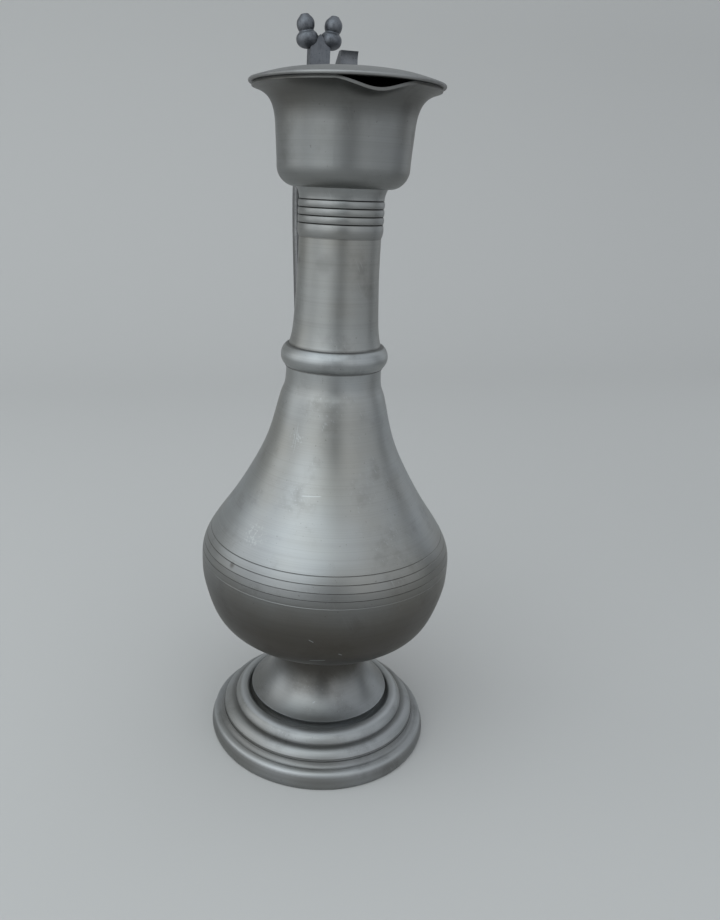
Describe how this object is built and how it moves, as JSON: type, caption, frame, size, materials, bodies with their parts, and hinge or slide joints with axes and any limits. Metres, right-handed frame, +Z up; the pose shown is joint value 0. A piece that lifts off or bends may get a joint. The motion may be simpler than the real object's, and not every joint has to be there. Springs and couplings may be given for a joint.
{
  "type": "lidded jug",
  "caption": "Tall pear-shaped pewter serving jug on a stepped foot, with a slender neck, a flared cup mouth with a pouring lip, a strap handle and a hinged domed lid with a thumbpiece.",
  "frame": {"origin": "centre of the foot, on the surface the jug stands on", "axes": "+Z up along the jug's turning axis, -Y towards the pouring lip, +Y towards the handle and the lid's hinge, +X to the right when looking along +Y"},
  "size_m": [0.1856, 0.188, 0.5303],
  "materials": {
    "foot_pewter": "soft satin, turned",
    "stem_pewter": "soft satin, turned",
    "bowl_pewter": "soft satin, turned, dulled with age",
    "shoulder_pewter": "soft satin, turned",
    "bead_pewter": "soft satin, turned",
    "neck_pewter": "soft satin, turned",
    "collar_pewter": "soft satin, turned, dark in the grooves",
    "cup_pewter": "soft satin, turned",
    "lid_pewter": "soft satin, turned",
    "strap_pewter": "satin, as cast and filed",
    "thumbpiece_pewter": "satin, as cast and rubbed",
    "handle_pewter": "satin, as cast and rubbed",
    "block_pewter": "satin, as cast and filed",
    "pin_pewter": "plain drawn rod"
  },
  "bodies": {
    "jug": {"foot_ring": "foot_pewter", "foot_stem": "stem_pewter", "body_bowl": "bowl_pewter", "body_shoulder": "shoulder_pewter", "neck_bead": "bead_pewter", "neck_tube": "neck_pewter", "reeded_collar": "collar_pewter", "mouth_cup": "cup_pewter", "handle": "handle_pewter", "hinge_block": "block_pewter", "hinge_pin": "pin_pewter"},
    "lid": {"lid_dome": "lid_pewter", "lid_strap": "strap_pewter", "thumbpiece": "thumbpiece_pewter"}
  },
  "joints": [
    {"name": "lid_hinge", "type": "hinge", "parent": "jug", "child": "lid", "pos_m": [0, 0.072, 0.4818], "axis": [-1, 0, 0], "range_deg": [0, 100]}
  ]
}
